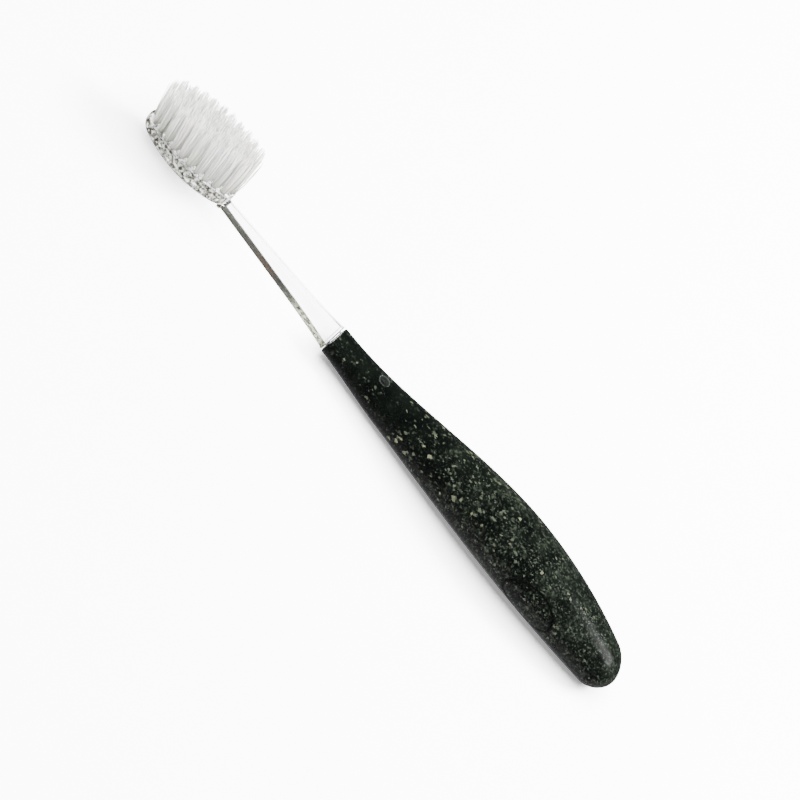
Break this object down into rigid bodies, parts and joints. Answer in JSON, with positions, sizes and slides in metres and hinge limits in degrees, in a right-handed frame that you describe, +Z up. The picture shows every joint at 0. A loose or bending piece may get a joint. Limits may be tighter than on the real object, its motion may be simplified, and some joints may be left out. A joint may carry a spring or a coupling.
{
  "type": "manual toothbrush",
  "caption": "Manual toothbrush with a thick speckled composite handle and a clear snap-in replaceable head: oval tilted plate, flared flat neck and fanned white bristle tufts",
  "frame": {"origin": "middle of the bottom of the bounding box, with the brush lying on the straight back of its handle", "axes": "+X along the brush from the head to the tail of the handle, +Y across it, +Z up, the side of the bristles"},
  "size_m": [0.1912, 0.0236, 0.022],
  "materials": {
    "speckled_composite": "glossy dark green-black moulding with grey-green and tan flakes",
    "clear_plastic": "polished clear plastic",
    "bristle_nylon": "translucent white nylon filaments",
    "anchor_metal": "bright drawn metal strip"
  },
  "bodies": {
    "handle": {"handle": "speckled_composite"},
    "brush_head": {"brush_head": "clear_plastic", "tuft_anchors": "anchor_metal", "tuft_01": "bristle_nylon", "tuft_02": "bristle_nylon", "tuft_03": "bristle_nylon", "tuft_04": "bristle_nylon", "tuft_05": "bristle_nylon", "tuft_06": "bristle_nylon", "tuft_07": "bristle_nylon", "tuft_08": "bristle_nylon", "tuft_09": "bristle_nylon", "tuft_10": "bristle_nylon", "tuft_11": "bristle_nylon", "tuft_12": "bristle_nylon", "tuft_13": "bristle_nylon", "tuft_14": "bristle_nylon", "tuft_15": "bristle_nylon", "tuft_16": "bristle_nylon", "tuft_17": "bristle_nylon", "tuft_18": "bristle_nylon", "tuft_19": "bristle_nylon", "tuft_20": "bristle_nylon", "tuft_21": "bristle_nylon", "tuft_22": "bristle_nylon", "tuft_23": "bristle_nylon", "tuft_24": "bristle_nylon", "tuft_25": "bristle_nylon", "tuft_26": "bristle_nylon", "tuft_27": "bristle_nylon", "tuft_28": "bristle_nylon", "tuft_29": "bristle_nylon", "tuft_30": "bristle_nylon", "tuft_31": "bristle_nylon", "tuft_32": "bristle_nylon", "tuft_33": "bristle_nylon", "tuft_34": "bristle_nylon", "tuft_35": "bristle_nylon", "tuft_36": "bristle_nylon", "tuft_37": "bristle_nylon", "tuft_38": "bristle_nylon", "tuft_39": "bristle_nylon", "tuft_40": "bristle_nylon", "tuft_41": "bristle_nylon", "tuft_42": "bristle_nylon", "tuft_43": "bristle_nylon", "tuft_44": "bristle_nylon"},
    "latch": {"latch_tongue": "clear_plastic"}
  },
  "joints": [
    {"name": "head_slide", "type": "slide", "parent": "handle", "child": "brush_head", "axis": [-1, 0, 0], "range_m": [0, 0.022], "deforming": ["latch_tongue"]},
    {"name": "latch_press", "type": "hinge", "parent": "brush_head", "child": "latch", "pos_m": [-0.01023, 0, 0.00505], "axis": [0, 1, 0], "range_deg": [0, 6.5], "stiffness_Nm_per_rad": 0.1}
  ]
}
